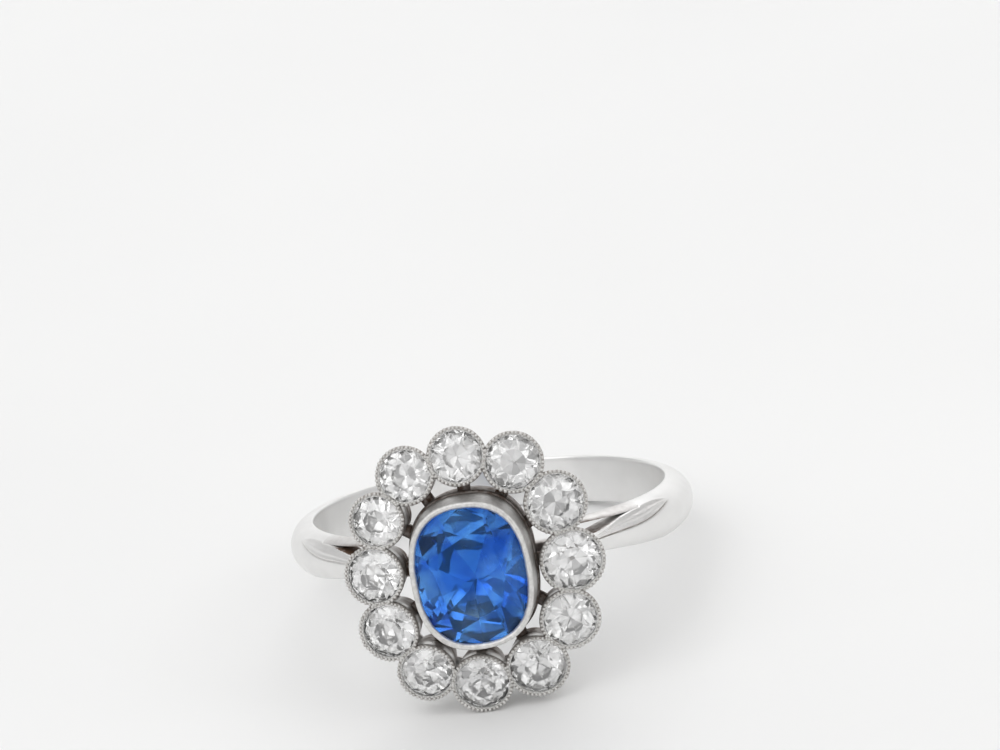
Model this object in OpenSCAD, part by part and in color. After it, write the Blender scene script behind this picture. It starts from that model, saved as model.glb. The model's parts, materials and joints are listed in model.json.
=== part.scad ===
// Cluster ring: a cushion-shaped blue stone in a raised rub-over collet, inside a halo of
// twelve round white stones in joined collets, on a shank with pierced split shoulders.
// The ring is built around its finger axis, head towards -Y, and then laid on its side.

/* [Finger hole] */
// Inside diameter of the ring
finger_d = 17.2; // [16.4:0.2:18.4]

/* [Shank] */
// Width of the shank along the finger
shank_w = 2.34; // [2.2:0.02:2.6]
// Thickness of the shank
shank_t = 1.25; // [1.2:0.05:1.4]

/* [Shoulders] */
// Angle from the head's middle to each end of the shank
shoulder_end = 28; // [26:1:30]
// Angle at which the pierced slot begins
slot_start = 55; // [50:1:58]
// Height of the pierced slot where it is widest
slot_h = 0.52; // [0.46:0.02:0.6]
// Height of the slot's upper edge above the ring's middle plane
slot_top = 0.9; // [0.84:0.02:0.96]
// Angle of the carved leaf's tip
leaf_tip = 68; // [64:1:72]
// How far the leaf stands proud of the shank
leaf_rise = 0.1; // [0.06:0.02:0.14]
// Slope of the underside, which thins the shoulders towards the head
under_slope = 8; // [4:1:10]
// Distance in front of the finger axis where that slope begins
under_start = 3.2; // [2.8:0.2:4]

/* [Centre stone] */
// Width of the centre stone at its girdle
centre_w = 5.25; // [5.05:0.05:5.45]
// Length of the centre stone at its girdle
centre_l = 6.6; // [6.4:0.05:6.8]
// Squareness of its cushion outline, where 2 is an ellipse
centre_power = 2.5; // [2.2:0.1:3]
// Height of its crown above the girdle
centre_crown = 0.66; // [0.5:0.02:0.8]
// Depth of its pavilion below the girdle
centre_pavilion = 2.5; // [2.2:0.1:2.6]
// Its twist in the setting
centre_turn = 4; // [0:1:6]
// Distance of its girdle from the finger axis
centre_girdle = 12.38; // [12.3:0.02:12.6]

/* [Centre collet] */
// Width of the collet's rim beyond the stone
centre_wall = 0.27; // [0.24:0.01:0.32]
// Height of the rim above the girdle
centre_lip = 0.3; // [0.26:0.02:0.36]

/* [Halo] */
// Width across the halo, from stone centre to stone centre
halo_w = 9.32; // [9.2:0.04:9.6]
// Length of the halo, from stone centre to stone centre
halo_l = 10.9; // [10.8:0.05:11.3]
// Squareness of the halo's line, where 2 is an ellipse
halo_power = 2.34; // [2.2:0.02:2.5]
// Distance of the halo's girdles from the finger axis
halo_girdle = 11; // [10.9:0.05:11.2]
// Outward lean of each halo collet
halo_lean = 13; // [10:1:15]
// Thickness of a halo collet's wall round its stone
halo_wall = 0.19; // [0.18:0.01:0.22]
// Height of a halo collet's rim above its girdle
halo_lip = 0.24; // [0.2:0.02:0.28]

/* [Hidden] */

// Girdle diameters of the old-cut halo stones, clockwise from the top of the head
STONE_D = [2.5, 2.6, 2.7, 2.8, 2.6, 2.7, 2.6, 2.5, 2.6, 2.6, 2.4, 2.5];
stone_count = len(STONE_D);
// Each halo stone's own twist, so that no two sit alike
STONE_TURN = [for (i = [0 : stone_count - 1]) (37 * i) % 45];
// The halo collet that the ring lies on, as a place in the list
FOOT = 6;
// Swing of the ring's lean towards one side, at which it balances on that collet and its back
rest_swing = -4.7;
// Shift of the first stone along the halo's line from the very top
halo_shift = -0.1;
// Metal between neighbouring girdles on the halo's line
stone_pitch_gap = 0.1;

// Shank sizes
finger_r = finger_d / 2;
tube_r = shank_w / 2;
shank_r = finger_r + shank_t - tube_r;
outer_r = finger_r + shank_t;
bore_reach = 40;

// Bearer that closes the finger hole behind the head
bearer_w = 1;
bearer_r = 9.5;
bearer_overlap = 4;

// Slot and leaf sizes on the shoulders
cut_angle = 46;
slot_end = 33;
slot_depth = 3;
leaf_end = 35;
leaf_mid_z = 0.4;
leaf_half = 0.36;
leaf_low = 0.16;
leaf_arc_steps = 10;

// Halo stone sizes, as shares of the girdle's radius
small_table = 0.56;
small_star = 0.8;
small_lower = 0.72;
small_culet = 0.1;
small_crown = 0.36;
small_pavilion = 0.84;
small_girdle = 0.06;

// Centre stone sizes, as shares of its outline
large_table = 0.6;
large_star = 0.82;
large_lower = 0.66;
large_culet = 0.05;
large_girdle = 0.07;

// Clearances between stone and metal
seat_gap = 0.03;
ledge_in = 0.25;
ledge_drop = 0.3;
lip_over = 0.06;
small_lip_over = 0.05;

// Halo collet sizes
collet_base_r = 1;
collet_depth = 2.1;
collet_hole_r = 0.66;
seat_top = 0.12;
seat_depth = 0.75;
seat_narrow = 0.55;
rim_wire_r = 0.12;
rim_wire_in = 0.1;
rim_wire_rise = 0.035;
foot_post_r = 0.75;
foot_post_depth = 2.9;

// Gallery rail, bars and the centre collet's foot
centre_base = 8.9;
foot_wire = 0.13;
foot_wire_h = 10.55;
rail_low = 8.92;
rail_high = 9.3;
rail_in = 0.36;
rail_out = 0.02;
bar_w = 0.62;
bar_low = 9.75;
bar_high = 10.25;
bar_reach_in = 0.1;
bar_reach_out = 1.05;

// Fineness of round things and of outlines
round_fn = 72;
outline_steps = 48;
line_steps = 720;
mains = 8;
eps = 0.01;

function sgn_pow(v, p) = sign(v) * pow(abs(v), p);
function unit(v) = v / norm(v);
function square_to(v, line) = v - (v * line) * line;

// A point of a cushion line, t degrees clockwise from the top
function cushion(w, l, p, t) = [w / 2 * sgn_pow(sin(t), 2 / p), l / 2 * sgn_pow(cos(t), 2 / p)];

// The same line by its polar angle, for cut stones
function cushion_r(w, l, p, a) =
    1 / pow(pow(abs(cos(a)) / (w / 2), p) + pow(abs(sin(a)) / (l / 2), p), 1 / p);

function cushion_line(w, l, p, n) = [for (i = [0 : n - 1]) cushion(w, l, p, 360 * i / n)];

// Length along the halo's line up to each step, paired with the step's angle
function halo_seg(i) = norm(cushion(halo_w, halo_l, halo_power, 360 * (i + 1) / line_steps)
                            - cushion(halo_w, halo_l, halo_power, 360 * i / line_steps));
halo_table = [for (i = 0, s = 0; i <= line_steps; s = s + halo_seg(i), i = i + 1)
              [s, 360 * i / line_steps]];
halo_total = halo_table[line_steps][0];

// Places along the line in step with the stones' diameters
function pitch(i) = (STONE_D[i % stone_count] + STONE_D[(i + 1) % stone_count]) / 2 + stone_pitch_gap;
run_table = [for (i = 0, s = 0; i <= stone_count; s = s + pitch(i), i = i + 1) s];
function run(i) = run_table[i] / run_table[stone_count] * halo_total + halo_shift;
function halo_angle(i) = lookup((run(i) + halo_total) % halo_total, halo_table);
function halo_point(i) = cushion(halo_w, halo_l, halo_power, halo_angle(i));

// Outward direction of the halo's line at a stone
function halo_normal(i) =
    let (q = halo_point(i))
    unit([sgn_pow(q.x / (halo_w / 2), halo_power - 1) / halo_w,
          sgn_pow(q.y / (halo_l / 2), halo_power - 1) / halo_l]);
function halo_bearing(i) = atan2(halo_normal(i).y, halo_normal(i).x);

function collet_r(i) = STONE_D[i] / 2 + halo_wall;

// Head directions turned into the ring's own frame
function to_ring(v) = [v.x, -v.z, v.y];
function collet_axis(i) =
    to_ring([halo_normal(i).x * sin(halo_lean), halo_normal(i).y * sin(halo_lean), cos(halo_lean)]);
function rim_centre(i) =
    to_ring([halo_point(i).x, halo_point(i).y, halo_girdle]) + halo_lip * collet_axis(i);

// Lowest point of a round wire ring, seen along the up direction
function wire_low(c, axis, big_r, small_r, up) =
    c - big_r * unit(square_to(up, axis)) - small_r * up;
function foot_low(i, up) =
    wire_low(rim_centre(i), collet_axis(i), collet_r(i) - rim_wire_in, rim_wire_r, up);
function back_low(up) = wire_low([0, 0, 0], [0, 0, 1], shank_r, tube_r, up);

// The ring lies on one collet and the back of its shank: its lean is found by halving the range
lean_limit = 45;
lean_rounds = 24;
function up_at(t) = [sin(t) * sin(rest_swing), -sin(t) * cos(rest_swing), cos(t)];
function foot_gap(t) = (foot_low(FOOT, up_at(t)) - back_low(up_at(t))) * up_at(t);
function rest_lean(low, high, n) =
    let (mid = (low + high) / 2)
    n == 0 ? mid :
    foot_gap(mid) < 0 ? rest_lean(mid, high, n - 1) : rest_lean(low, mid, n - 1);
up_dir = up_at(rest_lean(0, lean_limit, lean_rounds));
back_dir = unit(square_to([0, 1, 0], up_dir));
side_dir = cross(back_dir, up_dir);
floor_drop = back_low(up_dir) * up_dir;

// Reach of the ring along a direction, from its round rims, its shank and the centre collet
function wire_reach(c, axis, big_r, small_r, d) =
    c * d + big_r * norm(square_to(d, axis)) + small_r;
function rim_reach(i, d) =
    wire_reach(rim_centre(i), collet_axis(i), collet_r(i) - rim_wire_in, rim_wire_r, d);
function head_reach(d) = max([for (i = [0 : stone_count - 1]) rim_reach(i, d)]);
function table_reach(d) =
    max([for (q = cushion_line(centre_w * large_table, centre_l * large_table, centre_power, outline_steps))
         to_ring([q.x, q.y, centre_girdle + centre_crown]) * d]);
function collet_reach(d) =
    max([for (q = cushion_line(centre_w + 2 * centre_wall, centre_l + 2 * centre_wall,
                               centre_power, outline_steps))
         to_ring([q.x, q.y, centre_girdle + centre_lip]) * d]);
function shank_reach(d) = wire_reach([0, 0, 0], [0, 0, 1], shank_r, tube_r, d);
function reach(d) = max(head_reach(d), table_reach(d), collet_reach(d), shank_reach(d));
middle_x = (reach(side_dir) - reach(-side_dir)) / 2;
middle_y = (reach(back_dir) - reach(-back_dir)) / 2;

// Lays the ring on its side on the floor, with the origin under the middle of its box
module lay() {
    translate([-middle_x, -middle_y, -floor_drop])
        multmatrix([
            [side_dir.x, side_dir.y, side_dir.z, 0],
            [back_dir.x, back_dir.y, back_dir.z, 0],
            [up_dir.x, up_dir.y, up_dir.z, 0],
            [0, 0, 0, 1]])
            children();
}

// Stands a head piece, built with +Z outwards, on the front of the ring
module on_head() {
    rotate([90, 0, 0])
        children();
}

// Puts a piece on the axis of halo stone i, with its girdle at height 0
module at_stone(i) {
    translate([halo_point(i).x, halo_point(i).y, halo_girdle])
        rotate([0, halo_lean, halo_bearing(i)])
            children();
}

// Ring of points of a cut stone, with radius share k and height z
function stone_ring(w, l, p, n, first, k, z) =
    [for (i = [0 : n - 1])
     let (a = first + 360 * i / n, r = cushion_r(w, l, p, a) * k)
     [r * cos(a), r * sin(a), z]];

// Height of a main facet where a neighbouring pair meets at share k of the outline
function meet_z(k, inner, rise) = rise * (1 - k * cos(180 / mains)) / (1 - inner);

// Old brilliant cut: table, stars, mains and halves above, mains and halves below, open culet
module cut_stone(w, l, p, table, star, lower, culet, crown, pavilion, girdle) {
    half = 180 / mains;
    top = stone_ring(w, l, p, mains, 0, table, crown);
    stars = stone_ring(w, l, p, mains, half, star, girdle / 2 + meet_z(star, table, crown - girdle / 2));
    rim_a = stone_ring(w, l, p, 2 * mains, 0, 1, girdle / 2);
    rim_b = stone_ring(w, l, p, 2 * mains, 0, 1, -girdle / 2);
    lows = stone_ring(w, l, p, mains, half, lower,
                      -girdle / 2 - meet_z(lower, culet, pavilion - girdle / 2));
    tip = stone_ring(w, l, p, mains, 0, culet, -pavilion);
    s0 = mains;
    a0 = 2 * mains;
    b0 = 4 * mains;
    l0 = 6 * mains;
    c0 = 7 * mains;
    n2 = 2 * mains;
    polyhedron(
        points = concat(top, stars, rim_a, rim_b, lows, tip),
        faces = concat(
            [[for (i = [0 : mains - 1]) mains - 1 - i]],
            [for (i = [0 : mains - 1]) [i, (i + 1) % mains, s0 + i]],
            [for (i = [0 : mains - 1])
             [i, s0 + i, a0 + 2 * i]],
            [for (i = [0 : mains - 1])
             [i, a0 + 2 * i, s0 + (i + mains - 1) % mains]],
            [for (i = [0 : mains - 1]) [s0 + i, a0 + 2 * i + 1, a0 + 2 * i]],
            [for (i = [0 : mains - 1]) [s0 + i, a0 + (2 * i + 2) % n2, a0 + 2 * i + 1]],
            [for (i = [0 : n2 - 1]) [a0 + i, a0 + (i + 1) % n2, b0 + (i + 1) % n2, b0 + i]],
            [for (i = [0 : mains - 1]) [l0 + i, b0 + 2 * i, b0 + 2 * i + 1]],
            [for (i = [0 : mains - 1]) [l0 + i, b0 + 2 * i + 1, b0 + (2 * i + 2) % n2]],
            [for (i = [0 : mains - 1]) [c0 + i, b0 + 2 * i, l0 + i]],
            [for (i = [0 : mains - 1]) [c0 + i, l0 + (i + mains - 1) % mains, b0 + 2 * i]],
            [for (i = [0 : mains - 1]) [c0 + i, l0 + i, c0 + (i + 1) % mains]],
            [[for (i = [0 : mains - 1]) c0 + i]]));
}

// One round stone of the halo
module halo_diamond(number) {
    i = number - 1;
    d = STONE_D[i];
    color("whitesmoke")
        lay() on_head() at_stone(i)
            rotate([0, 0, STONE_TURN[i]])
                cut_stone(d, d, 2, small_table, small_star, small_lower, small_culet,
                          small_crown * d / 2, small_pavilion * d / 2, small_girdle);
}

// The cushion-shaped centre stone
module sapphire() {
    color("royalblue")
        lay() on_head()
            translate([0, 0, centre_girdle])
                rotate([0, 0, centre_turn])
                    cut_stone(centre_w, centre_l, centre_power, large_table, large_star,
                              large_lower, large_culet, centre_crown, centre_pavilion, large_girdle);
}

// A cushion-shaped block between two heights
module cushion_block(w, l, low, high) {
    translate([0, 0, low])
        linear_extrude(height = high - low)
            polygon(cushion_line(w, l, centre_power, outline_steps));
}

// D-section shank, open under the head
module shank() {
    rotate([0, 0, -90 + shoulder_end])
        rotate_extrude(angle = 360 - 2 * shoulder_end, $fn = round_fn)
            intersection() {
                translate([shank_r, 0])
                    circle(r = tube_r, $fn = round_fn);
                translate([finger_r - tube_r / 2, -shank_w])
                    square([2 * shank_w, 2 * shank_w]);
            }
}

// Slope that thins both shoulders from below on their way to the head
module under_cut() {
    translate([0, -under_start, -tube_r])
        rotate([-under_slope, 0, 0])
            translate([-outer_r - 1, -2 * outer_r, -2 * tube_r])
                cube([2 * outer_r + 2, 2 * outer_r, 2 * tube_r]);
}

// Stands an outline up on one shoulder: x runs along the shank towards the head, y along the finger
module on_shoulder(side) {
    rotate([0, 0, side * cut_angle])
        mirror([side > 0 ? 1 : 0, 0, 0])
            translate([0, -outer_r + slot_depth / 2, 0])
                rotate([90, 0, 0])
                    linear_extrude(height = slot_depth)
                        children();
}

// Distance along a shoulder's flat outline of an angle round the ring
function along(a) = outer_r * sin(cut_angle - a);

// Pierced wedge between the upper wire and the leaf
module slot_outline() {
    polygon([
        [along(slot_start), slot_top],
        [along(slot_end), slot_top + 0.04],
        [along(slot_end), slot_top - slot_h],
        [along((slot_start + slot_end) / 2), slot_top - slot_h / 2]]);
}

// Pointed leaf below the slot
module leaf_outline() {
    tip = [along(leaf_tip), leaf_mid_z + leaf_half];
    root_x = along(leaf_end);
    span = root_x - tip.x;
    upper = [for (i = [0 : leaf_arc_steps])
             let (k = i / leaf_arc_steps)
             [tip.x + span * k, tip.y - k * slot_h + leaf_half * sin(180 * k) / 2]];
    lower = [for (i = [leaf_arc_steps : -1 : 1])
             let (k = i / leaf_arc_steps)
             [tip.x + span * k, leaf_low + (tip.y - leaf_low) * pow(1 - k, 2)]];
    polygon(concat(upper, lower));
}

// Raised leaf on one shoulder
module leaf(side) {
    intersection() {
        on_shoulder(side)
            leaf_outline();
        rotate_extrude($fn = round_fn)
            intersection() {
                translate([shank_r, 0])
                    circle(r = tube_r + leaf_rise, $fn = round_fn);
                translate([finger_r + shank_t / 4, -shank_w])
                    square([2 * shank_w, 2 * shank_w]);
            }
    }
}

// Thin arc that closes the finger hole behind the head
module bearer() {
    half = shoulder_end + bearer_overlap;
    rotate([0, 0, -90 - half])
        rotate_extrude(angle = 2 * half, $fn = round_fn)
            translate([finger_r - eps, -bearer_w / 2])
                square([bearer_r - finger_r + eps, bearer_w]);
}

// Tapered cup of one halo stone with its round rim, still solid
module collet_body(i) {
    r = collet_r(i);
    translate([0, 0, -collet_depth])
        cylinder(r1 = collet_base_r, r2 = r, h = collet_depth + halo_lip - rim_wire_rise, $fn = round_fn);
    translate([0, 0, halo_lip])
        rotate_extrude($fn = round_fn)
            translate([r - rim_wire_in, 0])
                circle(r = rim_wire_r, $fn = round_fn);
}

// Seat, lip and open back of one halo stone
module collet_seat(i) {
    r = STONE_D[i] / 2 + seat_gap;
    lip_r = STONE_D[i] / 2 - small_lip_over;
    top = halo_lip + 2 * rim_wire_r;
    translate([0, 0, -2 * collet_depth])
        cylinder(r = collet_hole_r, h = 2 * collet_depth, $fn = round_fn);
    translate([0, 0, -seat_depth])
        cylinder(r1 = r - seat_narrow, r2 = r, h = seat_depth - seat_top, $fn = round_fn);
    translate([0, 0, -seat_top - eps])
        cylinder(r = r, h = 2 * seat_top, $fn = round_fn);
    translate([0, 0, seat_top - 2 * eps])
        cylinder(r1 = r, r2 = lip_r, h = halo_lip - seat_top, $fn = round_fn);
    translate([0, 0, halo_lip - 3 * eps])
        cylinder(r = lip_r, h = top - halo_lip, $fn = round_fn);
}

// Collet of the centre stone, still solid, with a thin wire round its foot
module centre_body() {
    w = centre_w + 2 * centre_wall;
    l = centre_l + 2 * centre_wall;
    cushion_block(w, l, centre_base, centre_girdle + centre_lip);
    cushion_block(w + 2 * foot_wire, l + 2 * foot_wire, foot_wire_h - foot_wire, foot_wire_h + foot_wire);
}

// Seat, ledge and open back of the centre stone
module centre_seat() {
    w = centre_w + 2 * seat_gap;
    l = centre_l + 2 * seat_gap;
    top = centre_girdle + centre_lip + 1;
    lip_z = centre_girdle + centre_lip / 2;
    cushion_block(w, l, centre_girdle - ledge_drop, lip_z);
    cushion_block(w - 2 * lip_over - 2 * seat_gap, l - 2 * lip_over - 2 * seat_gap, lip_z - eps, top);
    cushion_block(w - 2 * ledge_in, l - 2 * ledge_in, 0, centre_girdle - ledge_drop + eps);
}

// Rail that joins the feet of the halo collets
module gallery_rail() {
    translate([0, 0, rail_low])
        linear_extrude(height = rail_high - rail_low)
            difference() {
                polygon(cushion_line(halo_w - 2 * rail_out, halo_l - 2 * rail_out,
                                     halo_power, outline_steps));
                polygon(cushion_line(halo_w - 4 * rail_in, halo_l - 4 * rail_in,
                                     halo_power, outline_steps));
            }
}

// Bars from the centre collet to each halo collet
module bars() {
    for (i = [0 : stone_count - 1]) {
        inner = cushion_r(centre_w, centre_l, centre_power, halo_bearing(i)) + bar_reach_in;
        reach_out = norm(halo_point(i)) - bar_reach_out - inner;
        aim = atan2(halo_point(i).y, halo_point(i).x);
        rotate([0, 0, aim])
            translate([inner, -bar_w / 2, bar_low])
                cube([reach_out, bar_w, bar_high - bar_low]);
    }
}

// Posts that carry the head on the ends of the shank
module head_posts() {
    for (i = [3, 9])
        at_stone(i)
            translate([0, 0, -foot_post_depth])
                cylinder(r = foot_post_r, h = foot_post_depth - collet_depth / 2, $fn = round_fn);
}

// All soldered metal: shank, shoulders, bearer, gallery, bars and collets
module setting() {
    color("silver")
        lay()
            difference() {
                union() {
                    difference() {
                        shank();
                        under_cut();
                        for (side = [-1, 1])
                            on_shoulder(side)
                                slot_outline();
                    }
                    for (side = [-1, 1])
                        leaf(side);
                    bearer();
                    on_head() {
                        gallery_rail();
                        bars();
                        head_posts();
                        rotate([0, 0, centre_turn])
                            difference() {
                                centre_body();
                                centre_seat();
                            }
                        for (i = [0 : stone_count - 1])
                            at_stone(i)
                                collet_body(i);
                    }
                }
                on_head()
                    for (i = [0 : stone_count - 1])
                        at_stone(i)
                            collet_seat(i);
                cylinder(r = finger_r, h = bore_reach, center = true, $fn = round_fn);
            }
}

setting();
sapphire();
halo_diamond(1);  // diamond_01
halo_diamond(2);  // diamond_02
halo_diamond(3);  // diamond_03
halo_diamond(4);  // diamond_04
halo_diamond(5);  // diamond_05
halo_diamond(6);  // diamond_06
halo_diamond(7);  // diamond_07
halo_diamond(8);  // diamond_08
halo_diamond(9);  // diamond_09
halo_diamond(10);  // diamond_10
halo_diamond(11);  // diamond_11
halo_diamond(12);  // diamond_12
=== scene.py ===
import json
import math
import random

import bmesh
import bpy
from mathutils import Matrix, Vector, noise


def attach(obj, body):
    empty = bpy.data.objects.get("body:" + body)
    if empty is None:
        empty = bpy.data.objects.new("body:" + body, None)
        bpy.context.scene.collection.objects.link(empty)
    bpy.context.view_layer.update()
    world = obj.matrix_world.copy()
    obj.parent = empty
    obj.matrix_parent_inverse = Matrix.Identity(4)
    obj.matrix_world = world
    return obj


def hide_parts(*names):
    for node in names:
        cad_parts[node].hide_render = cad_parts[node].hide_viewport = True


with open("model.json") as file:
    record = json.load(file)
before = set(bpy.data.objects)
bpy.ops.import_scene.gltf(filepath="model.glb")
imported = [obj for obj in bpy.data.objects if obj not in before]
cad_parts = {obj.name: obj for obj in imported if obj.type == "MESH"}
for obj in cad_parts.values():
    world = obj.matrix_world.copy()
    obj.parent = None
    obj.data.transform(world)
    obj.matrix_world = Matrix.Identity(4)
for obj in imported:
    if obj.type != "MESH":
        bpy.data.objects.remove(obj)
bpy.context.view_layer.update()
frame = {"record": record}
print("frame loaded")

# the ring's own space comes from its finger hole: x right, y to the back, z along the finger, in mm
mm = 0.001
hole = frame["record"]["mounts"][0]
ringCentre = Vector(hole["pos_m"])
upAxis = Vector(hole["axis"]).normalized()
backAxis = upAxis.cross(Vector((1, 0, 0))).normalized()
rightAxis = backAxis.cross(upAxis)
ringSpace = (Matrix.Translation(ringCentre)
             @ Matrix((rightAxis, backAxis, upAxis)).transposed().to_4x4()
             @ Matrix.Scale(mm, 4))
headSpace = ringSpace @ Matrix.Rotation(math.pi / 2, 4, "X")  # x right, y along the finger, z outwards
toHead = headSpace.inverted()

camera = {
    "distance": 330,  # mm from the middle of the finger hole
    "azimuth": 6.9, "elevation": 27.5, "roll": -10.9,  # degrees
    "aim": (1.35, 5.19, 9.69),  # mm, the point in the middle of the picture
    "lens": 244, "clip": (0.01, 20),
}


def makeCamera():
    side, rise = math.radians(camera["azimuth"]), math.radians(camera["elevation"])
    away = Vector((math.sin(side) * math.cos(rise), -math.cos(side) * math.cos(rise), math.sin(rise)))
    data = bpy.data.cameras.new("studioCamera")
    data.lens = camera["lens"]
    data.clip_start, data.clip_end = camera["clip"]
    cam = bpy.data.objects.new("studioCamera", data)
    bpy.context.collection.objects.link(cam)
    cam.location = ringCentre + away * camera["distance"] * mm
    look = Vector(camera["aim"]) * mm - cam.location
    turn = Matrix.Rotation(math.radians(camera["roll"]), 3, "Z").to_quaternion()
    cam.rotation_mode = "QUATERNION"
    cam.rotation_quaternion = look.to_track_quat("-Z", "Y") @ turn
    bpy.context.scene.camera = cam


makeCamera()
print("camera placed")


# small helpers for outlines and sections

def eased(low, high, value):  # 0 at low, 1 at high, smooth between; low may be the larger one
    t = min(max((value - low) / (high - low), 0), 1)
    return t * t * (3 - 2 * t)


def signedPower(value, power):
    return math.copysign(abs(value) ** power, value)


def cushionPoint(width, length, power, angle):
    return Vector((signedPower(math.sin(angle), 2 / power) * width / 2,
                   signedPower(math.cos(angle), 2 / power) * length / 2))


def cushionNormal(width, length, power, point):
    return Vector((signedPower(point.x * 2 / width, power - 1) / width,
                   signedPower(point.y * 2 / length, power - 1) / length)).normalized()


def cushionShare(width, length, power, point):  # 1 on the outline, less inside it
    return ((abs(point.x) * 2 / width) ** power + (abs(point.y) * 2 / length) ** power) ** (1 / power)


def atPolar(width, length, power, bearing):
    ray = Vector((math.cos(bearing), math.sin(bearing)))
    return ray / cushionShare(width, length, power, ray)


def runLengths(path):
    run = [0.0]
    for a, b in zip(path, path[1:]):
        run.append(run[-1] + (b - a).length)
    return run


def anglesAt(width, length, power, places):  # outline angles for places along the line, each from 0 to 1
    steps = 1440
    run = runLengths([cushionPoint(width, length, power, math.tau * i / steps) for i in range(steps + 1)])
    angles = []
    for place in places:
        goal = (place % 1) * run[-1]
        j = next(i for i in range(steps) if run[i + 1] >= goal)
        angles.append(math.tau * (j + (goal - run[j]) / (run[j + 1] - run[j])) / steps)
    return angles


def evenAngles(width, length, power, count):
    return anglesAt(width, length, power, [k / count for k in range(count)])


def spacedEvenly(path, count):
    run = runLengths(path)
    out, j = [], 0
    for i in range(count):
        goal = run[-1] * i / (count - 1)
        while j < len(path) - 2 and run[j + 1] < goal:
            j += 1
        span = run[j + 1] - run[j]
        out.append(path[j].lerp(path[j + 1], min((goal - run[j]) / span, 1) if span > 0 else 0))
    return out


def softened(loop, rounds):  # rounds the corners of a closed section
    for _ in range(rounds):
        loop = [(loop[i - 1] + loop[i] * 2 + loop[(i + 1) % len(loop)]) / 4 for i in range(len(loop))]
    return loop


waverShifts = [Vector((9.32, -1.53, -7.95)), Vector((0, 0, 0)), Vector((6.33, 0.17, -2.67))]


def waver(place):  # a small unevenness; three plain noises, because noise_vector isn't the same on each run
    return Vector([noise.noise(place + shift) for shift in waverShifts])


def alongCurve(knots, where):  # smooth curve through (place, value) knots, places rising
    if where <= knots[0][0]:
        return knots[0][1]
    if where >= knots[-1][0]:
        return knots[-1][1]
    i = next(k for k in range(len(knots) - 1) if knots[k + 1][0] >= where)
    (x0, y0), (x1, y1) = knots[i], knots[i + 1]
    t = (where - x0) / (x1 - x0)

    def slope(k):
        a, b = knots[max(k - 1, 0)], knots[min(k + 1, len(knots) - 1)]
        return (b[1] - a[1]) / (b[0] - a[0]) * (x1 - x0)

    return ((2 * t ** 3 - 3 * t ** 2 + 1) * y0 + (t ** 3 - 2 * t ** 2 + t) * slope(i)
            + (3 * t ** 2 - 2 * t ** 3) * y1 + (t ** 3 - t ** 2) * slope(i + 1))


def circle(radius, count):
    return [(radius * math.cos(math.tau * k / count), radius * math.sin(math.tau * k / count))
            for k in range(count)]


def roundedBox(low, high, corner, points=3):  # section outline of a rounded rectangle
    loop = []
    corners = [(high[0], high[1]), (low[0], high[1]), (low[0], low[1]), (high[0], low[1])]
    for quarter, (x, y) in enumerate(corners):
        heart = Vector((x - math.copysign(corner, x - (low[0] + high[0]) / 2),
                        y - math.copysign(corner, y - (low[1] + high[1]) / 2)))
        for k in range(points + 1):
            turn = math.radians(90 * quarter + 90 * k / points)
            loop.append(heart + Vector((math.cos(turn), math.sin(turn))) * corner)
    return loop


def loft(bm, sections, closedPath=False):
    rows = [[bm.verts.new(p) for p in section] for section in sections]
    pairs = list(zip(rows, rows[1:]))
    if closedPath:
        pairs.append((rows[-1], rows[0]))
    for near, far in pairs:
        for i in range(len(near)):
            j = (i + 1) % len(near)
            bm.faces.new((near[i], near[j], far[j], far[i]))
    if not closedPath:
        bm.faces.new(rows[0][::-1])
        bm.faces.new(rows[-1])
    return rows


def loftSoiledAndShaded(sections, soilsAndShade):  # with each point's own share of patina and painted shade
    bm = bmesh.new()
    layer = bm.verts.layers.float.new("grimeAndShade")
    for row, soilAndShade in zip(loft(bm, sections), soilsAndShade):
        for vert, amount in zip(row, soilAndShade):
            vert[layer] = amount
    return bm


def revolve(bm, profile, space, steps):
    sections = []
    for i in range(steps):
        turn = math.tau * i / steps
        sections.append([space @ Vector((r * math.cos(turn), r * math.sin(turn), z)) for r, z in profile])
    return loft(bm, sections, closedPath=True)


# procedural materials

def addNode(tree, kind, **values):
    node = tree.nodes.new(kind)
    for key, value in values.items():
        if key in node.inputs:
            node.inputs[key].default_value = value
        else:
            setattr(node, key, value)
    return node


def newFinish(name):
    finish = bpy.data.materials.new(name)
    finish.use_nodes = True
    return finish, finish.node_tree, finish.node_tree.nodes["Principled BSDF"]


def objectNoise(tree, scale, detail, stretch=(1, 1, 1), roughness=0.5):  # scale is in features per mm
    coords = addNode(tree, "ShaderNodeTexCoord")
    mapping = addNode(tree, "ShaderNodeMapping")
    mapping.inputs["Scale"].default_value = [s / mm for s in stretch]
    grain = addNode(tree, "ShaderNodeTexNoise", Scale=scale, Detail=detail, Roughness=roughness)
    tree.links.new(coords.outputs["Object"], mapping.inputs["Vector"])
    tree.links.new(mapping.outputs["Vector"], grain.inputs["Vector"])
    return grain.outputs["Fac"]


def spread(tree, source, low, high, fromLow=0.35, fromHigh=0.65):  # a noise lies mostly in that middle range
    spreadNode = addNode(tree, "ShaderNodeMapRange")
    for key, value in (("From Min", fromLow), ("From Max", fromHigh), ("To Min", low), ("To Max", high)):
        spreadNode.inputs[key].default_value = value
    tree.links.new(source, spreadNode.inputs["Value"])
    return spreadNode.outputs["Result"]


def blendColours(tree, share, first, second):
    mix = addNode(tree, "ShaderNodeMix", data_type="RGBA")
    tree.links.new(share, mix.inputs[0])
    for socket, colour in ((mix.inputs[6], first), (mix.inputs[7], second)):
        if isinstance(colour, tuple):
            socket.default_value = (*colour, 1)
        else:
            tree.links.new(colour, socket)
    return mix.outputs[2]


def combine(tree, operation, *values):
    maths = addNode(tree, "ShaderNodeMath", operation=operation)
    for socket, value in zip(maths.inputs, values):
        if isinstance(value, (int, float)):
            socket.default_value = value
        else:
            tree.links.new(value, socket)
    return maths.outputs[0]


# dark brown for patina and painted shade: the grime share darkens the metal in recesses and between parts,
# where shade falls
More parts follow.
